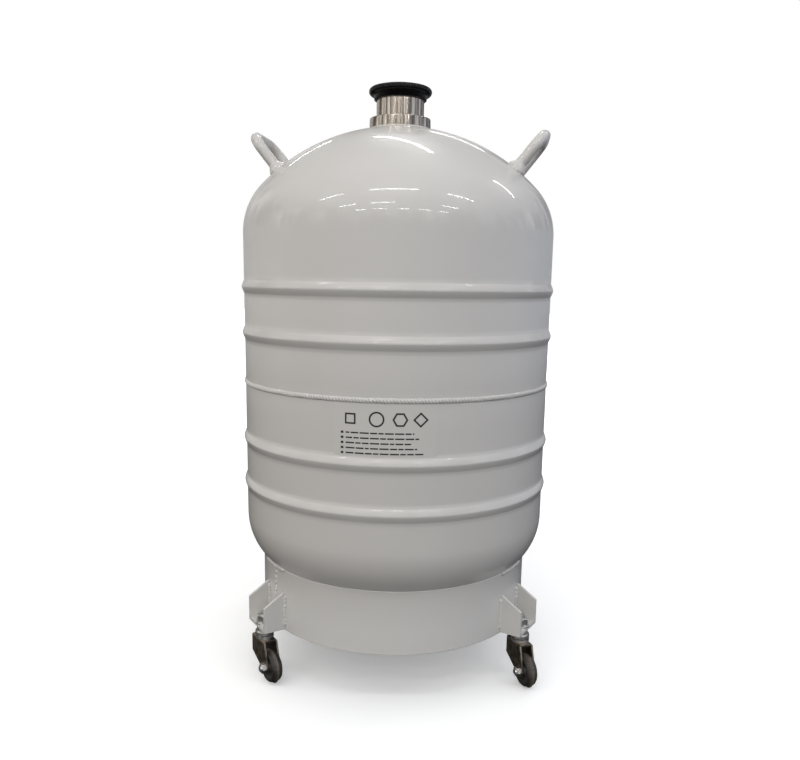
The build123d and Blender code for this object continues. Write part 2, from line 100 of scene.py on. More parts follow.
# Handles
HANDLE_ANGLES = {"left": 172.0, "right": -8.0}
HANDLE_BAR_RADIUS = 8.0
HANDLE_WIDTH = 95.0
HANDLE_FOOT_RADIUS = 172.0
HANDLE_REACH = 57.0
HANDLE_BEND = 24.0
HANDLE_SINK = 4.0
HANDLE_WELD_RADIUS = 12.5
HANDLE_WELD_RISE = 7.0

# Skirt, brackets and their welds
SKIRT_RADIUS = 204.0
SKIRT_WALL = 3.0
SKIRT_BOTTOM = 79.2
SEAM_WELD_ANGLE = 213.0
CASTER_ANGLES = {"front_left": 212.1, "front_right": -32.1, "rear_left": 147.9, "rear_right": 32.1}
BRACKET_WIDTH = 59.0
BRACKET_PLATE = 4.0
BRACKET_BOTTOM = 80.8
BRACKET_TOP = 136.5
STITCH_ARC = 17.0

# The paint grows paler between these heights, in metres, from the vessel down to the skirt: a painted bounce
# light from the floor
SKIRT_BOUNCE_TOP = 0.17
SKIRT_BOUNCE_BOTTOM = 0.11

# Casters
SWIVEL_RADIUS = 222.0
CASTER_HEADINGS = {"front_left": -54.5, "front_right": -70.0, "rear_left": 100.0, "rear_right": 62.0}
TRAIL = 21.0
WHEEL_RADIUS = 25.0
TREAD_FROM = 21.5
TYRE_HALF = 6.8
HUB_RADIUS = 17.0
HUB_HALF = 6.0
BOSS_RADIUS = 9.0
BOSS_HALF = 7.6
AXLE_RADIUS = 4.0

# Printed marks on the label: four plain shapes over five lines of bars. A mark is given by its place
# across, its corners (forty make a circle) and the angle of its first corner
MARKS = ((-48.0, 4, 45), (-14.0, 40, 0), (16.0, 6, 0), (42.0, 4, 0))
LABEL_RADIUS = 227.8
PRINT_SHIFT = -10.0
PRINT_LIFT = 0.08
MARK_SIZE = 20.0
MARK_STROKE = 2.2
MARK_HEIGHT = 409.5
BAR_TOP = 391.5
BAR_PITCH = 6.6
BAR_THICKNESS = 1.9
BULLET_LENGTH = 3.6
BULLET_THICKNESS = 3.0
BULLET_GAP = 3.0
BAR_START = -54.0
WORD_SHORTEST = 5.0
WORD_SPREAD = 7.0
WORD_GAP = 1.6
BAR_LENGTHS = (88.0, 94.0, 84.0, 92.0, 100.0)

# Camera: its place in metres and its turns in radians
CAMERA_PLACE = (0.0, -1.1668, 0.5831)
CAMERA_LENS = 34.28
CAMERA_SENSOR = 36.0
CAMERA_PITCH = 0.17553
CAMERA_YAW = 0.00573
CAMERA_ROLL = 0.01614
CAMERA_SHIFT = 0.0432

# Light and surround, in metres
SOFTBOX_POWER = 8.0
SOFTBOX_PLACE = (0.0, -0.6, 3.4)
SOFTBOX_AIM = (0, 0, 0.5)
SOFTBOX_SIZE = (3.2, 3.2)
FLOOR_REACH = 14.0
BACKDROP_RADIUS = 13.5

# World: brightness at heights from 0, straight down, to 1, straight up, and the belt of broken bands
SKY_BOTTOM = (0.015, 0.0145, 0.014, 1)
SKY_TOP = (0.60, 0.60, 0.61, 1)
SKY_LEVELS = ((0.20, 0.02), (0.33, 0.03), (0.42, 0.42), (0.49, 1.42), (0.66, 1.18), (0.84, 0.80))
BAND_BELT = ((0.54, 0.0), (0.58, 1.0), (0.70, 1.0), (0.78, 0.0))

# Floor: its glow rises between these distances, in metres, so that its far edge doesn't show
FLOOR_NEAR = 0.6
FLOOR_FAR = 4.0
FLOOR_NEAR_GLOW = 0.28
FLOOR_FAR_GLOW = 1.0

# Ceiling tubes, in metres: for each row its place along Y, the tubes' length, the middle of its first
# tube, the spacing and the count
TUBE_HEIGHT = 4.0
TUBE_WIDTH = 0.11
AIM_HEIGHT = 0.65
TUBE_RADIANCE = 24.0
TUBE_ROWS = (
    (-6.0, 1.0, -3.2, 1.75, 5),
    (-4.2, 1.45, -3.4, 2.5, 2),
    (-4.2, 1.45, 3.4, 2.5, 1),
    (-2.0, 1.85, -3.3, 3.1, 3),
    (1.6, 2.2, 3.6, 3.1, 1),
    (5.8, 1.3, -2.1, 3.35, 2),
)
SLANTED_TUBE = {"x": 0.1, "y": 2.3, "length": 2.1, "heading": -55.0}

# Mesh shading: edges sharper than the first stay sharp, bevels start at the second, and faces within
# the third of each other are merged before a bevel
SHARP_ANGLE = 40.0
BEVEL_ANGLE = 35.0
FLAT_ANGLE = 0.6
FILLET_STEPS = 4


# ---------------------------------------------------------------- materials

class Nodes:
    """Builds shader nodes in one tree and returns their outputs."""

    def __init__(self, tree, coordinates):
        self.tree = tree
        self.place = tree.nodes.new("ShaderNodeTexCoord").outputs[coordinates]

    def node(self, kind, inputs, **settings):
        """A node with its inputs given as values or as other nodes' outputs."""
        made = self.tree.nodes.new(kind)
        for name, value in settings.items():
            setattr(made, name, value)
        for socket, value in inputs.items():
            if isinstance(value, bpy.types.NodeSocket):
                self.tree.links.new(value, made.inputs[socket])
            else:
                made.inputs[socket].default_value = value
        return made

    def stretched(self, x, y, z):
        """Object coordinates, in metres, multiplied by one factor for each axis."""
        return self.node("ShaderNodeMapping", {"Vector": self.place, "Scale": (x, y, z)}).outputs[0]

    def noise(self, scale, detail=3.0, place=None):
        inputs = {"Vector": place or self.place, "Scale": scale, "Detail": detail}
        return self.node("ShaderNodeTexNoise", inputs).outputs["Fac"]

    def cells(self, scale, feature="F1"):
        inputs = {"Vector": self.place, "Scale": scale}
        return self.node("ShaderNodeTexVoronoi", inputs, feature=feature).outputs["Distance"]

    def waves(self, scale, direction, distortion=0.0):
        inputs = {"Vector": self.place, "Scale": scale, "Distortion": distortion}
        return self.node("ShaderNodeTexWave", inputs, bands_direction=direction).outputs["Fac"]

    def span(self, source, low, high, to_low=0.0, to_high=1.0):
        """A source's range low to high, spread over to_low to to_high."""
        inputs = {0: source, 1: low, 2: high, 3: to_low, 4: to_high}
        return self.node("ShaderNodeMapRange", inputs).outputs[0]

    def combined(self, operation, first, second):
        return self.node("ShaderNodeMath", {0: first, 1: second}, operation=operation).outputs[0]

    def axis(self, name):
        return self.node("ShaderNodeSeparateXYZ", {0: self.place}).outputs[name]

    def blend(self, amount, first, second):
        """Colours mixed by an amount from 0 to 1."""
        inputs = {0: amount, 6: first, 7: second}
        return self.node("ShaderNodeMix", inputs, data_type="RGBA").outputs[2]

    def scaled(self, source, factor):
        """A colour multiplied by one number."""
        inputs = {0: source, "Scale": factor}
        return self.node("ShaderNodeVectorMath", inputs, operation="SCALE").outputs[0]

    def ramp(self, source, stops):
        """A source from 0 to 1 as a colour, from stops of position and colour in rising order."""
        made = self.node("ShaderNodeValToRGB", {0: source})
        elements = made.color_ramp.elements
        elements.remove(elements[-1])
        elements[0].position, elements[0].color = stops[0]
        for position, colour in stops[1:]:
            elements.new(position).color = colour
        return made.outputs["Color"]


class Finish(Nodes):
    """One procedural material, made of texture nodes that feed a Principled shader."""

    def __init__(self, name, **settings):
        self.material = bpy.data.materials.new(name)
        self.material.use_nodes = True
        super().__init__(self.material.node_tree, "Object")
        self.shader = self.tree.nodes["Principled BSDF"]
        for socket, value in settings.items():
            self.shader.inputs[socket.replace("_", " ")].default_value = value
        self.normal = None

    def from_axis(self):
        """Distance in millimetres from the axis that the piece was turned about."""
        return self.node("ShaderNodeAttribute", {}, attribute_name="from_axis").outputs["Fac"]

    def colour(self, source):
        self.tree.links.new(source, self.shader.inputs["Base Color"])

    def roughness(self, source):
        self.tree.links.new(source, self.shader.inputs["Roughness"])

    def bump(self, source, depth, coat=False):
        """Relief of a depth in millimetres, on top of the relief so far."""
        inputs = {"Height": source, "Distance": depth * MM, "Strength": 1.0}
        if self.normal:
            inputs["Normal"] = self.normal
        self.normal = self.node("ShaderNodeBump", inputs).outputs[0]
        self.tree.links.new(self.normal, self.shader.inputs["Normal"])
        if coat:
            self.tree.links.new(self.normal, self.shader.inputs["Coat Normal"])


def rgb(red, green, blue):
    """A screen colour from 0 to 255, as the linear colour that a shader takes."""
    linear = []
    for value in (red, green, blue):
        share = value / 255
        linear.append(share / 12.92 if share <= 0.04045 else ((share + 0.055) / 1.055) ** 2.4)
    return (*linear, 1.0)


def paint(name, lumps=0.0):
    """Warm grey gloss enamel with orange peel, faint mottling and fine dust, and a painted bounce light from
    the floor that makes it a little paler on the skirt.
    """
    made = Finish(name, Coat_Weight=0.55, Coat_Roughness=0.03, Coat_IOR=1.5)
    mottle = made.blend(made.noise(7.0), rgb(191, 188, 184), rgb(199, 196, 191))
    dust = made.span(made.noise(900.0, 2.0), 0.70, 0.76)
    specked = made.blend(made.combined("MULTIPLY", dust, 0.35), mottle, rgb(150, 146, 138))
    # Painted bounce light from the floor: the colour turns paler from the vessel down to the skirt
    painted_floor_bounce = made.span(made.axis("Z"), SKIRT_BOUNCE_TOP, SKIRT_BOUNCE_BOTTOM)
    made.colour(made.blend(made.combined("MULTIPLY", painted_floor_bounce, 0.8), specked, rgb(208, 206, 202)))
    made.roughness(made.span(made.noise(60.0), 0.3, 0.7, 0.30, 0.42))
    if lumps:
        made.bump(made.noise(330.0, 2.0), lumps)
    made.bump(made.noise(6.0, 0.0), 0.03, coat=True)
    made.bump(made.noise(420.0, 1.0), 0.012)
    return made.material


def steel():
    """Turned stainless steel: fine rings left by the tool, in its colour, gloss and relief."""
    made = Finish("neck_stainless_steel", Metallic=1.0, Anisotropic=0.75, Anisotropic_Rotation=0.25)
    tangent = made.node("ShaderNodeTangent", {}, direction_type="RADIAL", axis="Z").outputs[0]
    made.tree.links.new(tangent, made.shader.inputs["Tangent"])
    rings = made.noise(1.0, 2.0, made.stretched(8.0, 8.0, 5200.0))
    made.colour(made.blend(rings, rgb(150, 141, 130), rgb(178, 170, 160)))
    made.roughness(made.span(made.noise(1.0, 4.0, made.stretched(30.0, 30.0, 2400.0)), 0.3, 0.7, 0.12, 0.22))
    made.bump(rings, 0.004)
    return made.material


def plain_metal(name, dark, light, low, high, relief=0.03, grain=240.0):
    """Plated or cast metal whose colour and gloss vary in small patches."""
    made = Finish(name, Metallic=1.0)
    patches = made.noise(grain, 4.0)
    made.colour(made.blend(made.span(patches, 0.35, 0.65), dark, light))
    made.roughness(made.span(made.noise(grain * 2.3, 3.0), 0.3, 0.7, low, high))
    made.bump(made.noise(grain * 6, 2.0), relief)
    return made.material


def brushed_aluminium():
    made = Finish("inner_aluminium", Metallic=1.0)
    lines = made.noise(1.0, 3.0, made.stretched(25.0, 25.0, 2600.0))
    made.colour(made.blend(lines, rgb(188, 190, 193), rgb(216, 217, 219)))
    made.roughness(made.span(lines, 0.3, 0.7, 0.26, 0.40))
    made.bump(lines, 0.01)
    return made.material


def gloss_plastic():
    """Black moulded plastic with fine swirl marks and a little dust."""
    made = Finish("cap_black_plastic", Coat_Weight=0.16, Coat_Roughness=0.05, Specular_IOR_Level=0.06)
    dust = made.span(made.noise(700.0, 3.0), 0.62, 0.78)
    made.colour(made.blend(made.combined("MULTIPLY", dust, 0.25), rgb(6, 6, 7), rgb(60, 58, 56)))
    made.roughness(made.span(made.noise(45.0, 5.0), 0.3, 0.7, 0.20, 0.36))
    made.bump(made.noise(520.0, 2.0), 0.02, coat=True)
    return made.material


def plug_foam():
    """White closed-cell foam, moulded from beads."""
    soft = {"Subsurface_Weight": 0.12, "Subsurface_Radius": (0.004, 0.003, 0.002)}
    made = Finish("plug_foam_beads", Roughness=0.85, **soft)
    beads = made.cells(330.0)
    made.colour(made.blend(made.span(beads, 0.1, 0.8), rgb(243, 240, 230), rgb(214, 208, 192)))
    made.bump(beads, -0.5)
    made.bump(made.noise(1500.0, 2.0), 0.05)
    return made.material


def composite():
    """Wound glass fibre in a pale amber resin."""
    made = Finish("neck_glass_fibre", Coat_Weight=0.3, Coat_Roughness=0.15)
    wound = made.waves(900.0, "DIAGONAL", 1.2)
    strands = made.noise(1.0, 4.0, made.stretched(260.0, 260.0, 1900.0))
    cross = made.combined("MULTIPLY", wound, strands)
    made.colour(made.blend(cross, rgb(168, 150, 104), rgb(214, 200, 156)))
    made.roughness(made.span(strands, 0.3, 0.7, 0.34, 0.52))
    made.bump(cross, 0.08)
    return made.material


def foil():
    """Crinkled aluminised film."""
    made = Finish("insulation_foil", Metallic=1.0)
    creases = made.cells(42.0, "DISTANCE_TO_EDGE")
    made.colour(made.blend(made.noise(30.0), rgb(205, 206, 208), rgb(232, 232, 234)))
    made.roughness(made.span(made.noise(70.0), 0.3, 0.7, 0.16, 0.34))
    made.bump(made.span(creases, 0.0, 0.12), 0.9)
    made.bump(made.noise(85.0, 5.0), 0.7)
    return made.material


def cloth():
    """A woven bag of adsorbent grains."""
    made = Finish("adsorbent_cloth", Roughness=0.9, Sheen_Weight=0.3)
    weave = made.combined("MULTIPLY", made.waves(700.0, "X"), made.waves(700.0, "Z"))
    made.colour(made.blend(weave, rgb(196, 192, 182), rgb(226, 223, 214)))
    made.bump(weave, 0.15)
    made.bump(made.cells(220.0), -0.7)
    return made.material


def rubber(name, base, wear_and_sheen, tread_from=None):
    """Black rubber. A tyre's tread is paler brown-grey where it touches the floor: floor dust with a painted
    sheen.
    """
    made = Finish(name, Specular_IOR_Level=0.42)
    patches = made.noise(190.0, 5.0)
    amount = made.span(patches, 0.42, 0.72, 0.0, 0.55)
    # The tyre's tread is painted paler brown-grey: floor dust with a painted sheen
    if tread_from:
        tread = made.span(made.from_axis(), tread_from, WHEEL_RADIUS, 0.12, 1.0)
        streaked = made.span(made.noise(1.0, 4.0, made.stretched(60.0, 60.0, 420.0)), 0.25, 0.75, 0.35, 1.0)
        amount = made.combined("MULTIPLY", tread, streaked)
    made.colour(made.blend(amount, base, wear_and_sheen))
    made.roughness(made.span(patches, 0.3, 0.7, 0.38, 0.56))
    made.bump(made.noise(1300.0, 3.0), 0.05)
    return made.material


def moulded_plastic():
    made = Finish("hub_grey_plastic", Specular_IOR_Level=0.45)
    made.colour(made.blend(made.noise(160.0, 4.0), rgb(38, 38, 39), rgb(60, 59, 58)))
    made.roughness(made.span(made.noise(420.0), 0.3, 0.7, 0.40, 0.58))
    made.bump(made.noise(2100.0, 2.0), 0.03)
    return made.material


def label_film():
    """A printed film in the shell's colour, a little less glossy than the paint."""
    made = Finish("label_film", Coat_Weight=0.4, Coat_Roughness=0.09)
    made.colour(made.blend(made.noise(9.0), rgb(193, 190, 185), rgb(199, 196, 191)))
    made.roughness(made.span(made.noise(80.0), 0.3, 0.7, 0.34, 0.44))
    made.bump(made.noise(60.0, 2.0), 0.02, coat=True)
    return made.material


def ink():
    """Black ink with slightly uneven cover."""
    made = Finish("label_ink")
    made.colour(made.blend(made.span(made.noise(1800.0, 3.0), 0.4, 0.75), rgb(16, 16, 16), rgb(52, 51, 50)))
    made.roughness(made.span(made.noise(300.0), 0.3, 0.7, 0.42, 0.6))
    return made.material


def floor_material():
    """A pale floor that fades to the surround's brightness away from the object."""
    made = Finish("pale_floor", Roughness=0.75, Specular_IOR_Level=0.2)
    made.shader.inputs["Emission Color"].default_value = (1, 1, 1, 1)
    distance = made.node("ShaderNodeVectorMath", {0: made.place}, operation="LENGTH").outputs["Value"]
    glow = made.span(distance, FLOOR_NEAR, FLOOR_FAR, FLOOR_NEAR_GLOW, FLOOR_FAR_GLOW)
    made.tree.links.new(glow, made.shader.inputs["Emission Strength"])
    made.colour(made.blend(made.noise(2.0), rgb(240, 240, 239), rgb(244, 244, 243)))
    return made.material


SHELL_PAINT = paint("shell_paint")
WELD_PAINT = paint("weld_paint", lumps=0.35)
STEEL = steel()
ZINC = plain_metal("bright_zinc", rgb(196, 194, 190), rgb(232, 230, 226), 0.30, 0.42, 0.008)
FORK_STEEL = plain_metal("brown_zinc", rgb(104, 94, 82), rgb(150, 140, 126), 0.30, 0.50, 0.01, 130.0)
BRASS = plain_metal("valve_brass", rgb(168, 134, 74), rgb(204, 172, 104), 0.22, 0.40)
ALUMINIUM = brushed_aluminium()
CAP_PLASTIC = gloss_plastic()
FOAM = plug_foam()
COMPOSITE = composite()
FOIL = foil()
CLOTH = cloth()
TYRE_RUBBER = rubber("tyre_rubber", rgb(24, 23, 22), rgb(104, 95, 84), tread_from=TREAD_FROM)
SEAL_RUBBER = rubber("seal_rubber", rgb(26, 26, 27), rgb(58, 57, 56))
HUB_PLASTIC = moulded_plastic()
LABEL_FILM = label_film()
INK = ink()


# ---------------------------------------------------------------- mesh helpers

def placed(name, data):
    """An object that holds the data, linked into the scene."""
    made = bpy.data.objects.new(name, data)
    bpy.context.scene.collection.objects.link(made)
    return made


def shaded(mesh, material, sharp_angle=SHARP_ANGLE):
    """The mesh takes one material and is smooth up to an angle."""
    mesh.materials.clear()
    mesh.materials.append(material)
    mesh.shade_smooth()
    mesh.set_sharp_from_angle(angle=math.radians(sharp_angle))


def new_piece(name, verts, faces, material):
    """A mesh object from points in millimetres and faces."""
    mesh = bpy.data.meshes.new(name)
    mesh.from_pydata([(x * MM, y * MM, z * MM) for x, y, z in verts], [], faces)
    mesh.validate()
    shaded(mesh, material)
    return placed(name, mesh)


def finished(piece, body, slot, *nodes):
    """The piece rides on a body and stands for CAD nodes; the slot is not used."""
    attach(piece, body)
    if nodes:
        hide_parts(*nodes)
    return piece


def joined(name, pieces):
    """Several pieces made into one, with their own places kept; the whole takes the first piece's material.
    """
    bpy.context.view_layer.update()
    whole = bmesh.new()
    for piece in pieces:
        part = piece.data
        part.transform(piece.matrix_world)
        whole.from_mesh(part)
    mesh = bpy.data.meshes.new(name)
    whole.to_mesh(mesh)
    whole.free()
    shaded(mesh, pieces[0].data.materials[0])
    for piece in pieces:
        bpy.data.objects.remove(piece)
    return placed(name, mesh)


def ring_noise(angle, scale, level):
    """Smooth noise round a ring, with no seam where it closes."""
    return noise.noise(Vector((math.cos(angle) * scale, math.sin(angle) * scale, level)))


def both_sides(side):
    """An outline from its upper half, which ends on the middle plane."""
    return side + [(radius, -height) for radius, height in reversed(side[:-1])]


def arc(centre, radius, start, end, count):
    """Points on an arc, from one angle to another in degrees."""
    points = []
    for step in range(count + 1):
        angle = math.radians(start + (end - start) * step / count)
        points.append((centre[0] + radius * math.cos(angle), centre[1] + radius * math.sin(angle)))
    return points


def rounded(corners):
    """An outline through corners of radius, height and fillet, with each corner rounded."""
    points = []
    for index, (x, y, fillet) in enumerate(corners):
        here = Vector((x, y))
        if not fillet or index in (0, len(corners) - 1):
            points.append((x, y))
            continue
        before = (Vector(corners[index - 1][:2]) - here).normalized()
        after = (Vector(corners[index + 1][:2]) - here).normalized()
        half = before.angle(after) / 2
        centre = here + (before + after).normalized() * fillet / math.sin(half)
        start = here + before * fillet / math.tan(half) - centre
        end = here + after * fillet / math.tan(half) - centre
        for step in range(FILLET_STEPS + 1):
            points.append(tuple(centre + start.slerp(end, step / FILLET_STEPS)))
    return points


def lathe(name, outline, material, segments, change=None, closed=False):
    """Turn an outline of radius and height about Z. change(angle, radius, height) moves a point."""
    rows = len(outline)
    verts = []
    for segment in range(segments):
        angle = 2 * math.pi * segment / segments
        for radius, height in outline:
            if change:
                radius, height = change(angle, radius, height)
            verts.append((radius * math.cos(angle), radius * math.sin(angle), height))
    faces = []
    for segment in range(segments):
        here = segment * rows
        there = (segment + 1) % segments * rows
        for row in range(rows if closed else rows - 1):
            above = (row + 1) % rows
            faces.append((here + row, there + row, there + above, here + above))
    piece = new_piece(name, verts, faces, material)
    tidy_mesh(piece.data)
    from_axis = piece.data.attributes.new("from_axis", "FLOAT", "POINT")
    for index, vertex in enumerate(piece.data.vertices):
        from_axis.data[index].value = math.hypot(vertex.co.x, vertex.co.y) / MM
    return piece


def tidy_mesh(mesh):
    """Merge the points that meet on the axis and turn all faces outwards."""
    shape = bmesh.new()
    shape.from_mesh(mesh)
    bmesh.ops.remove_doubles(shape, verts=shape.verts, dist=1e-7)
    bmesh.ops.recalc_face_normals(shape, faces=shape.faces)
    shape.to_mesh(mesh)
    shape.free()


def tube(name, line, radius_at, material, segments):
    """A round bar along a line of points in millimetres, with closed ends."""
    points = [Vector(point) for point in line]
    verts = []
    side = None
    for index, point in enumerate(points):
        ahead = points[min(index + 1, len(points) - 1)] - points[max(index - 1, 0)]
        ahead.normalize()
        if side is None:
            side = ahead.orthogonal().normalized()
        side = (side - ahead * side.dot(ahead)).normalized()
        other = ahead.cross(side)
        for segment in range(segments):
            angle = 2 * math.pi * segment / segments
            radius = radius_at(index, angle)
            verts.append(point + (side * math.cos(angle) + other * math.sin(angle)) * radius)
    faces = []
    for index in range(len(points) - 1):
        for segment in range(segments):
            beside = (segment + 1) % segments
            low = index * segments
            high = low + segments
            faces.append((low + segment, low + beside, high + beside, high + segment))
    last = (len(points) - 1) * segments
    faces.append(tuple(reversed(range(segments))))
    faces.append(tuple(last + segment for segment in range(segments)))
    return new_piece(name, verts, faces, material)


def weld_bead(name, line, radius, pitch, seed, rough):
    """A run of weld: a bar with the scallops of its pools, thinner at its ends."""
    count = len(line)
    length = sum((Vector(line[i + 1]) - Vector(line[i])).length for i in range(count - 1))

    def radius_at(index, angle):
        along = length * index / (count - 1)
        pool = abs(math.sin(math.pi * along / pitch)) ** 0.6
        end = min(1.0, 0.45 + min(along, length - along) / (1.5 * radius))
        uneven = noise.noise(Vector((along * 0.35 + seed, angle, seed * 1.7)))
        return radius * end * (0.80 + 0.20 * pool + rough * uneven)

    return tube(name, line, radius_at, WELD_PAINT, 14)


def softened(node, width, material, slot):
    """A copy of a CAD node with its sharp edges rounded by a bevel, standing for that node."""
    source = frame["nodes"][node]
    body = next(name for name, empty in frame["bodies"].items() if empty == source.parent)
    mesh = source.data.copy()
    shape = bmesh.new()
    shape.from_mesh(mesh)
    bmesh.ops.remove_doubles(shape, verts=shape.verts, dist=1e-6)
    flat = math.radians(FLAT_ANGLE)
    bmesh.ops.dissolve_limit(shape, angle_limit=flat, verts=shape.verts, edges=shape.edges)
    shape.to_mesh(mesh)
    shape.free()
    shaded(mesh, material, BEVEL_ANGLE)
    piece = placed(f"{node}_finished", mesh)
    bevel = piece.modifiers.new("edges", "BEVEL")
    bevel.width = width * MM
    bevel.segments = 2
    bevel.limit_method = "ANGLE"
    bevel.angle_limit = math.radians(BEVEL_ANGLE)
    bevel.harden_normals = True
    return finished(piece, body, slot, node)


# ---------------------------------------------------------------- shell

def end_outline(end, up, start_radius):
    """The crown and knuckle of a dished end, from near its pole to the side wall."""
    knuckle_radius = SHELL_RADIUS - end["knuckle"]
    rise = math.sqrt((end["crown"] - end["knuckle"]) ** 2 - knuckle_radius**2)
    crown_centre = (0.0, end["pole"] - up * end["crown"])
    knuckle_centre = (knuckle_radius, crown_centre[1] + up * rise)
    turn = math.degrees(math.atan2(knuckle_radius, rise))
    first = math.degrees(math.asin(start_radius / end["crown"]))
    crown = arc(crown_centre, end["crown"], up * (90 - first), up * (90 - turn), CROWN_ROWS)
    knuckle = arc(knuckle_centre, end["knuckle"], up * (90 - turn), 0.0, KNUCKLE_ROWS)
    return crown + knuckle[1:]


def rib_outline(height):
    """A rolled rib: two nearly flat slopes that meet in a round crest."""
    points = []
    for step in range(RIB_ROWS + 1):
        share = 1 - 2 * step / RIB_ROWS
        rise = RIB_RISE * (1 - abs(share) ** RIB_FULLNESS)
        points.append((SHELL_RADIUS + rise, height + share * RIB_WIDTH / 2))
    return points


def wall_outline(high, low):
    """The side wall from its top down, with rows between for its slight unevenness."""
    points = []
    start = high
    stops = [height for height in sorted(RIB_HEIGHTS, reverse=True) if low < height < high]
    for height in stops:
        points += straight_rows(start, height + RIB_WIDTH / 2)
        points += rib_outline(height)[1:]
        start = height - RIB_WIDTH / 2
    return points + straight_rows(start, low)


def straight_rows(high, low):
    """Points down a straight stretch of wall, after its top one."""
    count = max(1, round((high - low) / WALL_ROW_SPACING))
    return [(SHELL_RADIUS, high + (low - high) * step / count) for step in range(1, count + 1)]


def shell_unevenness(angle, radius, height):
    """The wall is drawn in slightly beside the girth weld and isn't quite round elsewhere."""
    fade = min(1.0, max(0.0, (radius - SHELL_RADIUS + UNEVEN_FADE) / UNEVEN_FADE))
    away = abs(height - GIRTH_HEIGHT) / WELD_PULL_REACH
    pull = WELD_PULL * math.exp(-away * away)
    near = ring_noise(angle, 9, height * 0.03)
    wide = ring_noise(angle, 2, height * 0.008)
    return radius - pull * (1.0 + 0.9 * near) - 0.12 * (1 + wide) * fade * fade, height


def make_shell():
    top = end_outline(TOP_END, 1, COLLAR_RADIUS)
    upper = top + wall_outline(top[-1][1], GIRTH_HEIGHT)
    piece = lathe("upper_shell_painted", upper, SHELL_PAINT, SHELL_SEGMENTS, shell_unevenness)
    finished(piece, "root", "shell_paint", "upper_shell")
    bottom = end_outline(BOTTOM_END, -1, 10.0)
    lower = [(SHELL_RADIUS, GIRTH_HEIGHT)]
    lower += wall_outline(GIRTH_HEIGHT, bottom[-1][1]) + bottom[::-1][1:]
    piece = lathe("lower_shell_painted", lower, SHELL_PAINT, SHELL_SEGMENTS, shell_unevenness)
    finished(piece, "root", "shell_paint", "lower_shell")


def make_girth_weld():
    """A bead of overlapping pools that lean along the joint."""
    half = GIRTH_WELD_WIDTH / 2
    pools = round(2 * math.pi * SHELL_RADIUS / GIRTH_WELD_PITCH)
    rows = 9

    def change(angle, radius, height):
        across = (height - GIRTH_HEIGHT) / half
        lean = pools * angle / (2 * math.pi) + 0.55 * across
        pool = abs(math.sin(math.pi * lean)) ** 0.7
        drift = ring_noise(angle, 14, 3.0)
        crown = max(0.0, 1 - across * across)
        rise = (GIRTH_WELD_SINK + GIRTH_WELD_RISE) * math.sqrt(crown) * (0.66 + 0.28 * pool + 0.14 * drift)
        return SHELL_RADIUS - GIRTH_WELD_SINK + rise, height + 0.5 * drift

    outline = [(SHELL_RADIUS, GIRTH_HEIGHT + half * (1 - 2 * row / (rows - 1))) for row in range(rows)]
    piece = lathe("girth_weld_bead", outline, WELD_PAINT, pools * 7, change)
    finished(piece, "root", "shell_paint", "girth_weld")


# ---------------------------------------------------------------- neck and lid

def make_neck():
    collar = rounded([
        (NECK_BORE_RADIUS, COLLAR_BOTTOM, 0),
        (NECK_BORE_RADIUS, NECK_TOP, 0.4),
        (COLLAR_RADIUS, NECK_TOP, 0.6),
        (COLLAR_RADIUS, COLLAR_BOTTOM, 0),
    ])
    piece = lathe("neck_collar_turned", collar, STEEL, 160)
    finished(piece, "root", "neck_steel", "neck_collar")
    ring = rounded([
        (COLLAR_RADIUS + 0.02, DOME_AT_RING, 0),
        (COLLAR_RADIUS + 0.02, NECK_RING_TOP - 0.3, 0.3),
        (COLLAR_RADIUS + 0.9, NECK_RING_TOP, 0.3),
        (NECK_RING_RADIUS, NECK_RING_TOP, 1.3),
        (NECK_RING_RADIUS, DOME_AT_RING, 0),
    ])
    piece = lathe("neck_ring_turned", ring, STEEL, 160)
    finished(piece, "root", "neck_steel", "neck_ring")


def make_neck_weld():
    """The painted fillet at the neck ring's foot, with the nibs that its run left."""
    height = TOP_END["pole"] - TOP_END["crown"] + math.sqrt(TOP_END["crown"] ** 2 - NECK_RING_RADIUS**2)

    def change(angle, radius, level):
        lumps = ring_noise(angle, 11, 5.0)
        nibs = max(0.0, ring_noise(angle, 30, level * 0.1))
        out = max(0.0, radius - NECK_RING_RADIUS)
        return radius + out * (0.35 * lumps + 0.6 * nibs), level + 0.5 * lumps

    outline = [
        (NECK_RING_RADIUS - 0.2, height + 2.4),
        (NECK_RING_RADIUS + 0.4, height + 1.9),
        (NECK_RING_RADIUS + 1.3, height + 0.9),
        (NECK_RING_RADIUS + 2.6, height + 0.15),
        (NECK_RING_RADIUS + 4.0, height - 0.75),
        (NECK_RING_RADIUS + 4.4, height - 1.4),
    ]
    piece = lathe("neck_weld_fillet", outline, WELD_PAINT, 240, change)
    finished(piece, "root", "shell_paint", "neck_weld")


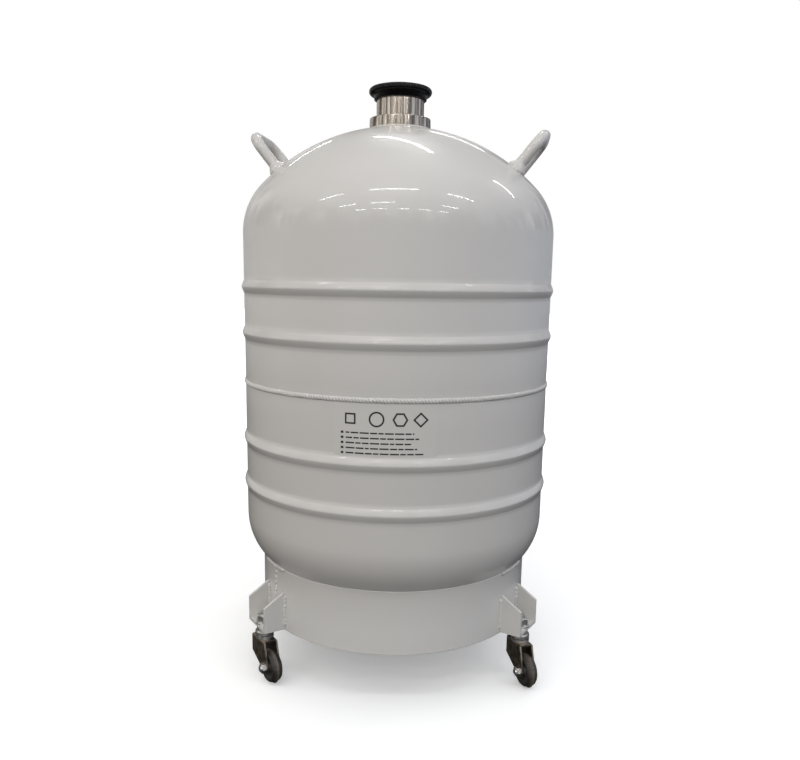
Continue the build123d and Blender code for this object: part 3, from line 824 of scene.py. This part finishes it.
def make_lid():
    """The cap with its grips moulded into the rim's upper edge, and the foam plug."""
    rim_radius = (CAP_TOP - CAP_RIM_BOTTOM) / 2
    rim_centre = (CAP_RADIUS - rim_radius, CAP_TOP - rim_radius)
    top = rounded([
        (0.0, CAP_TOP - 1.0, 0),
        (rim_centre[0] - 7, CAP_TOP - 1.0, 1.2),
        (rim_centre[0] - 5, CAP_TOP, 1.0),
        (rim_centre[0], CAP_TOP, 0),
    ])
    underside = rounded([
        (rim_centre[0], CAP_RIM_BOTTOM, 0),
        (CAP_SKIRT_RADIUS + 0.6, CAP_RIM_BOTTOM, 0.8),
        (CAP_SKIRT_RADIUS - 1, CAP_SKIRT_BOTTOM, 0.5),
        (COLLAR_RADIUS + 0.5, CAP_SKIRT_BOTTOM, 0.3),
        (COLLAR_RADIUS + 0.5, NECK_TOP, 0),
        (0.0, NECK_TOP, 0),
    ])
    rim = arc(rim_centre, rim_radius, 90, -90, 26)
    grip_bottom = -0.25 * rim_radius

    def grips(angle, radius, height):
        beyond = radius - rim_centre[0]
        above = height - rim_centre[1]
        if beyond <= 0 or above <= grip_bottom:
            return radius, height
        wave = (0.5 - 0.5 * math.cos(CAP_GRIPS * angle)) ** 1.5
        weight = math.sin(math.atan2(above - grip_bottom, beyond)) * (beyond / rim_radius)
        depth = CAP_GRIP_DEPTH * 1.6 * wave * max(0.0, weight)
        length = math.hypot(beyond, above)
        return radius - depth * beyond / length, height - depth * max(0.0, above) / length

    piece = lathe("lid_cap_moulded", top + rim[1:-1] + underside, CAP_PLASTIC, CAP_GRIPS * 8, grips)
    finished(piece, "lid", "cap_plastic", "lid_cap")
    plug = rounded([
        (0.0, NECK_TOP - 0.05, 0),
        (PLUG_RADIUS, NECK_TOP - 0.05, 0.4),
        (PLUG_RADIUS, NECK_TOP - PLUG_LENGTH, 2.5),
        (0.0, NECK_TOP - PLUG_LENGTH, 0),
    ])
    piece = lathe("foam_plug_moulded", plug, FOAM, 96)
    finished(piece, "lid", "plug_foam", "foam_plug")


# ---------------------------------------------------------------- handles

def handle_frame(angle):
    """The foot's place, and the handle's own axes: outwards square to the dome, and along the bar."""
    slope = math.asin(HANDLE_FOOT_RADIUS / TOP_END["crown"])
    height = TOP_END["pole"] - TOP_END["crown"] * (1 - math.cos(slope))
    turn = Matrix.Rotation(math.radians(angle), 3, "Z")
    foot = turn @ Vector((HANDLE_FOOT_RADIUS, 0, height))
    square = turn @ Vector((math.sin(slope), 0, math.cos(slope)))
    along = turn @ Vector((0, 1, 0))
    return foot, square, along


def handle_line():
    """The bar's centre line as distances along the bar and out from the dome."""
    half = HANDLE_WIDTH / 2
    bend = HANDLE_BEND
    rise = HANDLE_REACH - bend + HANDLE_SINK
    leg = [(-half, -HANDLE_SINK + rise * step / 10) for step in range(10)]
    first = arc((-half + bend, HANDLE_REACH - bend), bend, 180, 90, 14)
    grip = [(-half + bend + (HANDLE_WIDTH - 2 * bend) * step / 8, HANDLE_REACH) for step in range(1, 8)]
    one_side = leg + first + grip
    other_side = [(-x, y) for x, y in reversed(leg + first)]
    return one_side + other_side


def make_handles():
    line = handle_line()
    welds = []
    for side, angle in HANDLE_ANGLES.items():
        foot, square, along = handle_frame(angle)
        points = [foot + along * x + square * y for x, y in line]

        def bar_radius(index, turn, seed=angle):
            uneven = noise.noise(Vector((index * 0.22, turn, seed)))
            return HANDLE_BAR_RADIUS - 0.1 + 0.12 * uneven

        piece = tube(f"handle_{side}_bar", points, bar_radius, SHELL_PAINT, 32)
        finished(piece, "root", "shell_paint", f"handle_{side}")
        for end in (-1, 1):
            centre = foot + along * end * HANDLE_WIDTH / 2
            welds.append(foot_weld(f"foot_{side}_{end}", centre, square, angle + end))
    finished(joined("handle_foot_welds", welds), "root", "shell_paint", "handle_welds")


def foot_weld(name, centre, square, seed):
    """A lumpy fillet round a handle's foot."""
    outline = [
        (HANDLE_WELD_RADIUS + 0.9, -8.0),
        (HANDLE_WELD_RADIUS + 0.9, -4.6),
        (HANDLE_WELD_RADIUS + 0.5, -2.6),
        (HANDLE_WELD_RADIUS - 0.2, -0.8),
        (HANDLE_WELD_RADIUS - 1.2, 1.0),
        (HANDLE_WELD_RADIUS - 2.3, 2.7),
        (HANDLE_WELD_RADIUS - 3.4, 4.4),
        (HANDLE_BAR_RADIUS + 0.4, 5.9),
        (HANDLE_BAR_RADIUS - 0.2, HANDLE_WELD_RISE),
    ]

    def change(angle, radius, height):
        spot = Vector((math.cos(angle) * 2.2, math.sin(angle) * 2.2, height * 0.22 + seed))
        lump = noise.noise(spot) + 0.5 * noise.noise(spot * 2.4)
        outside = max(0.0, radius - HANDLE_BAR_RADIUS) / 4.5
        return radius + 1.5 * lump * outside, height

    piece = lathe(name, outline, WELD_PAINT, 64, change)
    turn = Vector((0, 0, 1)).rotation_difference(square).to_matrix().to_4x4()
    piece.matrix_world = Matrix.Translation(centre * MM) @ turn
    return piece


# ---------------------------------------------------------------- skirt and brackets

def skirt_top():
    """Where the skirt's outside meets the bottom end's knuckle."""
    knuckle_radius = SHELL_RADIUS - BOTTOM_END["knuckle"]
    rise = math.sqrt((BOTTOM_END["crown"] - BOTTOM_END["knuckle"]) ** 2 - knuckle_radius**2)
    knuckle_height = BOTTOM_END["pole"] + BOTTOM_END["crown"] - rise
    reach = SKIRT_RADIUS - knuckle_radius
    return knuckle_height - math.sqrt(BOTTOM_END["knuckle"] ** 2 - reach**2)


def make_skirt():
    top = skirt_top()
    inside = SKIRT_RADIUS - SKIRT_WALL
    rows = 10
    face = [(SKIRT_RADIUS, top - 1.5 - (top - SKIRT_BOTTOM - 5) * row / rows) for row in range(rows + 1)]
    outline = rounded([
        (inside, SKIRT_BOTTOM + 3, 0),
        (inside, top - 1.6, 0.5),
        (inside + 1.2, top - 1.4, 0.6),
        (SKIRT_RADIUS, top - 0.4, 0.5),
        (SKIRT_RADIUS, top - 1.5, 0),
    ]) + face[1:] + rounded([
        (SKIRT_RADIUS, SKIRT_BOTTOM + 3.0, 0),
        (SKIRT_RADIUS, SKIRT_BOTTOM, 0.8),
        (inside, SKIRT_BOTTOM, 0.8),
        (inside, SKIRT_BOTTOM + 3, 0),
    ])[:-1]

    def change(angle, radius, height):
        wide = ring_noise(angle, 2.5, height * 0.01)
        return radius - 0.12 * (1 + wide), height

    piece = lathe("skirt_rolled", outline, SHELL_PAINT, 288, change, closed=True)
    finished(piece, "root", "shell_paint", "skirt")


def make_skirt_welds():
    """A lumpy run of weld under the vessel at each bracket, and the dabs up the skirt's seam."""
    top = skirt_top()
    runs = []
    for number, (corner, middle) in enumerate(CASTER_ANGLES.items()):
        line = []
        steps = 60
        for step in range(steps + 1):
            angle = math.radians(middle + STITCH_ARC * (step / steps - 0.5))
            wander = 0.5 * math.sin(step * 0.9 + number)
            radius = SKIRT_RADIUS - 0.3
            line.append((radius * math.cos(angle), radius * math.sin(angle), top - 1.2 + wander))
        runs.append(weld_bead(f"stitch_{corner}", line, 3.3, 6.5, 3.1 * number, 0.35))
    finished(joined("skirt_stitch_welds", runs), "root", "shell_paint", "skirt_welds")
    angle = math.radians(SEAM_WELD_ANGLE)
    low = BRACKET_BOTTOM + 2 * BRACKET_PLATE
    high = top - 8
    steps = 90
    line = []
    for step in range(steps + 1):
        wander = math.radians(0.16) * math.sin(step * 0.37)
        radius = SKIRT_RADIUS - 1.1
        place = (radius * math.cos(angle + wander), radius * math.sin(angle + wander))
        line.append((*place, low + (high - low) * step / steps))
    piece = weld_bead("skirt_seam_dabs", line, 2.7, 8.5, 21.0, 0.5)
    finished(piece, "root", "shell_paint", "skirt_seam_weld")


def make_bracket_welds():
    """Scalloped fillets up both sides of each gusset plate."""
    half = BRACKET_WIDTH / 2
    offsets = (-half, BRACKET_PLATE - half, half - BRACKET_PLATE, half)
    low = BRACKET_BOTTOM + BRACKET_PLATE + 1
    high = BRACKET_TOP - BRACKET_PLATE
    steps = 44
    runs = []
    for number, (corner, angle) in enumerate(CASTER_ANGLES.items()):
        turn = Matrix.Rotation(math.radians(angle), 3, "Z")
        for place, offset in enumerate(offsets):
            out = math.sqrt(SKIRT_RADIUS**2 - offset**2)
            inwards = 0.5 if place in (0, 3) else -0.5
            shift = offset - math.copysign(inwards, offset)
            line = []
            for step in range(steps + 1):
                height = low + (high - low) * step / steps
                line.append(turn @ Vector((out + 0.1, shift, height)))
            seed = 7.0 * number + 1.9 * place
            runs.append(weld_bead(f"fillet_{corner}_{place}", line, 3.1, 6.8, seed, 0.3))
    finished(joined("bracket_fillet_welds", runs), "root", "shell_paint", "bracket_welds")


# ---------------------------------------------------------------- casters

def wheel_place(corner):
    """From a wheel turned about its own Z axis to its place in the caster."""
    at_bracket = Matrix.Rotation(math.radians(CASTER_ANGLES[corner]), 4, "Z")
    swivel = at_bracket @ Matrix.Translation((SWIVEL_RADIUS * MM, 0, 0))
    heading = math.radians(CASTER_HEADINGS[corner] - CASTER_ANGLES[corner])
    facing = swivel @ Matrix.Rotation(heading, 4, "Z")
    axle = Matrix.Translation((TRAIL * MM, 0, WHEEL_RADIUS * MM))
    return facing @ axle @ Matrix.Rotation(math.radians(90), 4, "X")


def tyre_outline():
    """A solid tyre with a crowned tread, round shoulders and a moulded line on each side."""
    side = rounded([
        (HUB_RADIUS, TYRE_HALF - 0.6, 0),
        (HUB_RADIUS + 0.8, TYRE_HALF, 0.4),
        (HUB_RADIUS + 2.6, TYRE_HALF, 0.3),
        (HUB_RADIUS + 3.0, TYRE_HALF - 0.5, 0.2),
        (HUB_RADIUS + 3.4, TYRE_HALF, 0.3),
        (WHEEL_RADIUS - 2.8, TYRE_HALF - 0.2, 1.6),
        (WHEEL_RADIUS - 0.6, TYRE_HALF - 2.4, 3.0),
        (WHEEL_RADIUS, 0.0, 0),
    ])
    return both_sides(side)


def hub_outline():
    """A hub with a rim, a recessed web and a boss on each side."""
    side = rounded([
        (AXLE_RADIUS + 0.05, BOSS_HALF, 0),
        (BOSS_RADIUS - 2.0, BOSS_HALF, 0.6),
        (BOSS_RADIUS, HUB_HALF - 1.2, 0.8),
        (HUB_RADIUS - 2.6, HUB_HALF - 1.8, 0.6),
        (HUB_RADIUS - 2.0, HUB_HALF, 0.5),
        (HUB_RADIUS, HUB_HALF, 0.4),
        (HUB_RADIUS, 0.0, 0),
    ])
    return both_sides(side)


def make_casters():
    for corner in CASTER_ANGLES:
        place = wheel_place(corner)
        tyre = lathe(f"tyre_{corner}", tyre_outline(), TYRE_RUBBER, 96, closed=True)
        tyre.data.transform(place)
        finished(tyre, f"wheel_{corner}", "tyre_rubber", f"wheel_tyre_{corner}")
        hub = lathe(f"hub_{corner}", hub_outline(), HUB_PLASTIC, 72, closed=True)
        hub.data.transform(place)
        finished(hub, f"wheel_{corner}", "hub_plastic", f"wheel_hub_{corner}")
        softened(f"caster_fork_{corner}", 0.5, FORK_STEEL, "fork_steel")
        softened(f"caster_stem_{corner}", 0.5, ZINC, "zinc_steel")
        softened(f"caster_axle_{corner}", 0.4, ZINC, "zinc_steel")
        softened(f"caster_bracket_{corner}", 0.6, SHELL_PAINT, "shell_paint")
    softened("stud_nuts", 0.4, ZINC, "zinc_steel")
    softened("stud_washers", 0.4, ZINC, "zinc_steel")


# ---------------------------------------------------------------- label

def on_label(across, height):
    """A point on the label's face, from its distance right of the label's middle."""
    radius = LABEL_RADIUS + PRINT_LIFT
    angle = math.radians(-90) + (across + PRINT_SHIFT) / radius
    return (radius * math.cos(angle), radius * math.sin(angle), height)


class Print:
    """Flat printed shapes gathered into one mesh."""

    def __init__(self):
        self.verts = []
        self.faces = []

    def bar(self, left, right, middle, thickness):
        steps = max(1, round((right - left) / 2))
        first = len(self.verts)
        for step in range(steps + 1):
            across = left + (right - left) * step / steps
            self.verts.append(on_label(across, middle - thickness / 2))
            self.verts.append(on_label(across, middle + thickness / 2))
        for step in range(steps):
            low = first + 2 * step
            self.faces.append((low, low + 2, low + 3, low + 1))

    def outline(self, across, height, radius, corners, start, stroke):
        """A regular shape drawn as a line, with its middle left open."""
        first = len(self.verts)
        inner_radius = radius - stroke / math.cos(math.pi / corners)
        steps = math.ceil(40 / corners)
        for corner in range(corners):
            here = math.radians(start) + 2 * math.pi * corner / corners
            there = here + 2 * math.pi / corners
            for step in range(steps):
                share = step / steps
                x = math.cos(here) * (1 - share) + math.cos(there) * share
                y = math.sin(here) * (1 - share) + math.sin(there) * share
                for reach in (radius, inner_radius):
                    self.verts.append(on_label(across + reach * x, height + reach * y))
        total = corners * steps
        for point in range(total):
            low = first + 2 * point
            high = first + 2 * ((point + 1) % total)
            self.faces.append((low, high, high + 1, low + 1))


def make_label():
    """Generic marks: four plain outlines, and five lines of bars, each after a bullet."""
    printed = Print()
    radius = MARK_SIZE / 2
    for across, corners, start in MARKS:
        printed.outline(across, MARK_HEIGHT, radius, corners, start, MARK_STROKE)
    for line, bar_length in enumerate(BAR_LENGTHS):
        middle = BAR_TOP - BAR_PITCH * line
        bullet_end = BAR_START - BULLET_GAP
        printed.bar(bullet_end - BULLET_LENGTH, bullet_end, middle, BULLET_THICKNESS)
        left = BAR_START
        word = 0
        end = BAR_START + bar_length
        while left < end:
            length = WORD_SHORTEST + WORD_SPREAD * abs(math.sin(3.7 * line + 2.3 * word))
            right = min(left + length, end)
            printed.bar(left, right, middle, BAR_THICKNESS)
            left = right + WORD_GAP
            word += 1
    piece = new_piece("label_print", printed.verts, printed.faces, INK)
    finished(piece, "root", "label_film")


# ---------------------------------------------------------------- CAD nodes kept

def make_kept_nodes():
    """Nodes whose shape is right as it is get a full material in place of their slot colour."""
    kept = {
        "label_sheet": LABEL_FILM,
        "neck_tube": COMPOSITE,
        "inner_neck_ring": ALUMINIUM,
        "inner_vessel_top": ALUMINIUM,
        "inner_vessel_bottom": ALUMINIUM,
        "inner_weld": ALUMINIUM,
        "insulation_wrap": FOIL,
        "insulation_top_pad": FOIL,
        "insulation_bottom_pad": FOIL,
        "adsorbent_ring": CLOTH,
        "evacuation_nozzle": STEEL,
        "evacuation_valve": BRASS,
        "evacuation_seal": SEAL_RUBBER,
    }
    for corner in CASTER_ANGLES:
        kept[f"caster_bearing_{corner}"] = ZINC
    for node, material in kept.items():
        mesh = frame["nodes"][node].data
        mesh.materials.clear()
        mesh.materials.append(material)


# ---------------------------------------------------------------- stage, light and camera

def make_floor():
    mesh = bpy.data.meshes.new("floor")
    corners = [(x * FLOOR_REACH, y * FLOOR_REACH, 0) for x, y in ((-1, -1), (1, -1), (1, 1), (-1, 1))]
    mesh.from_pydata(corners, [], [(0, 1, 2, 3)])
    mesh.materials.append(floor_material())
    floor = placed("floor", mesh)
    floor.visible_diffuse = False
    floor.visible_glossy = False


def make_world():
    """Soft light all round: brighter above, darker below, with broken bands at eye level."""
    world = bpy.data.worlds.new("studio")
    bpy.context.scene.world = world
    world.use_nodes = True
    made = Nodes(world.node_tree, "Generated")
    height = made.span(made.axis("Z"), -1.0, 1.0)
    warm = [(position, (level, level * 0.985, level * 0.965, 1)) for position, level in SKY_LEVELS]
    sky = made.ramp(height, [(0.0, SKY_BOTTOM), *warm, (1.0, SKY_TOP)])
    broken = {"Vector": made.stretched(4.0, 4.0, 0.3), "Scale": 1.6, "Detail": 6.0, "Roughness": 0.7}
    bands = made.node("ShaderNodeTexNoise", broken).outputs["Fac"]
    contrast = made.span(bands, 0.45, 0.62, -0.90, 1.30)
    belt = made.ramp(height, [(position, (level, level, level, 1)) for position, level in BAND_BELT])
    banded = made.node("ShaderNodeMath", {0: contrast, 1: belt, 2: 1.0}, operation="MULTIPLY_ADD")
    lit = made.scaled(sky, banded.outputs[0])
    cooler = made.span(made.axis("X"), 0.0, 0.9)
    tint = made.blend(cooler, (1.0, 1.0, 1.0, 1), (0.70, 0.76, 0.90, 1))
    tinted = made.node("ShaderNodeVectorMath", {0: lit, 1: tint}, operation="MULTIPLY").outputs[0]
    dimmed = made.scaled(tinted, made.span(made.axis("Y"), 0.05, 0.85, 1.0, 0.38))
    made.tree.links.new(dimmed, made.tree.nodes["Background"].inputs["Color"])


def area_light(name, place, aim, size, power):
    light = bpy.data.lights.new(name, "AREA")
    light.shape = "RECTANGLE"
    light.size, light.size_y = size
    light.energy = power
    lamp = placed(name, light)
    lamp.location = place
    lamp.rotation_mode = "QUATERNION"
    lamp.rotation_quaternion = (Vector(aim) - Vector(place)).to_track_quat("-Z", "Y")
    lamp.visible_camera = False
    return lamp


def tube_light(name, x, y, length, heading=0.0):
    """A ceiling tube. Those in front of the object are tilted to face it."""
    power = math.pi * TUBE_RADIANCE * length * TUBE_WIDTH
    lamp = area_light(name, (x, y, TUBE_HEIGHT), (x, y, 0), (length, TUBE_WIDTH), power)
    lamp.rotation_mode = "XYZ"
    tilt = math.atan2(max(0.0, -y), TUBE_HEIGHT - AIM_HEIGHT)
    lamp.rotation_euler = (tilt, 0, math.radians(heading))


def make_lights():
    area_light("overhead_softbox", SOFTBOX_PLACE, SOFTBOX_AIM, SOFTBOX_SIZE, SOFTBOX_POWER)
    for y, length, first, spacing, count in TUBE_ROWS:
        for place in range(count):
            x = first + place * spacing
            tube_light(f"tube_{y:.1f}_{x:.2f}", x, y, length)
    tube_light("tube_slanted", **SLANTED_TUBE)


def make_backdrop():
    """A pale surround that only the camera sees, so that it adds no light."""
    shape = bmesh.new()
    bmesh.ops.create_uvsphere(shape, u_segments=48, v_segments=24, radius=BACKDROP_RADIUS)
    mesh = bpy.data.meshes.new("backdrop")
    shape.to_mesh(mesh)
    shape.free()
    material = bpy.data.materials.new("pale_backdrop")
    material.use_nodes = True
    nodes = material.node_tree.nodes
    glow = nodes.new("ShaderNodeEmission")
    glow.inputs["Color"].default_value = (1.0, 1.0, 1.0, 1)
    material.node_tree.links.new(glow.outputs[0], nodes["Material Output"].inputs["Surface"])
    mesh.materials.append(material)
    backdrop = placed("backdrop", mesh)
    backdrop.visible_diffuse = False
    backdrop.visible_glossy = False
    backdrop.visible_shadow = False
    backdrop.visible_transmission = False


def make_camera():
    """The camera's own axes from its pitch, yaw and roll."""
    level = math.cos(CAMERA_PITCH)
    forward = Vector((math.sin(CAMERA_YAW) * level, math.cos(CAMERA_YAW) * level, -math.sin(CAMERA_PITCH)))
    right = Vector((math.cos(CAMERA_YAW), -math.sin(CAMERA_YAW), 0))
    up = right.cross(forward)
    rolled_right = right * math.cos(CAMERA_ROLL) + up * math.sin(CAMERA_ROLL)
    rolled_up = up * math.cos(CAMERA_ROLL) - right * math.sin(CAMERA_ROLL)
    axes = Matrix((rolled_right, rolled_up, -forward)).transposed().to_4x4()
    data = bpy.data.cameras.new("camera")
    data.sensor_width = CAMERA_SENSOR
    data.lens = CAMERA_LENS
    data.shift_y = CAMERA_SHIFT
    camera = placed("camera", data)
    camera.matrix_world = Matrix.Translation(CAMERA_PLACE) @ axes
    bpy.context.scene.camera = camera


make_shell()
make_girth_weld()
make_neck()
make_neck_weld()
make_lid()
make_handles()
make_skirt()
make_skirt_welds()
make_bracket_welds()
make_casters()
make_label()
make_kept_nodes()
make_floor()
make_backdrop()
make_world()
make_lights()
make_camera()
bpy.context.scene.view_settings.view_transform = "Standard"
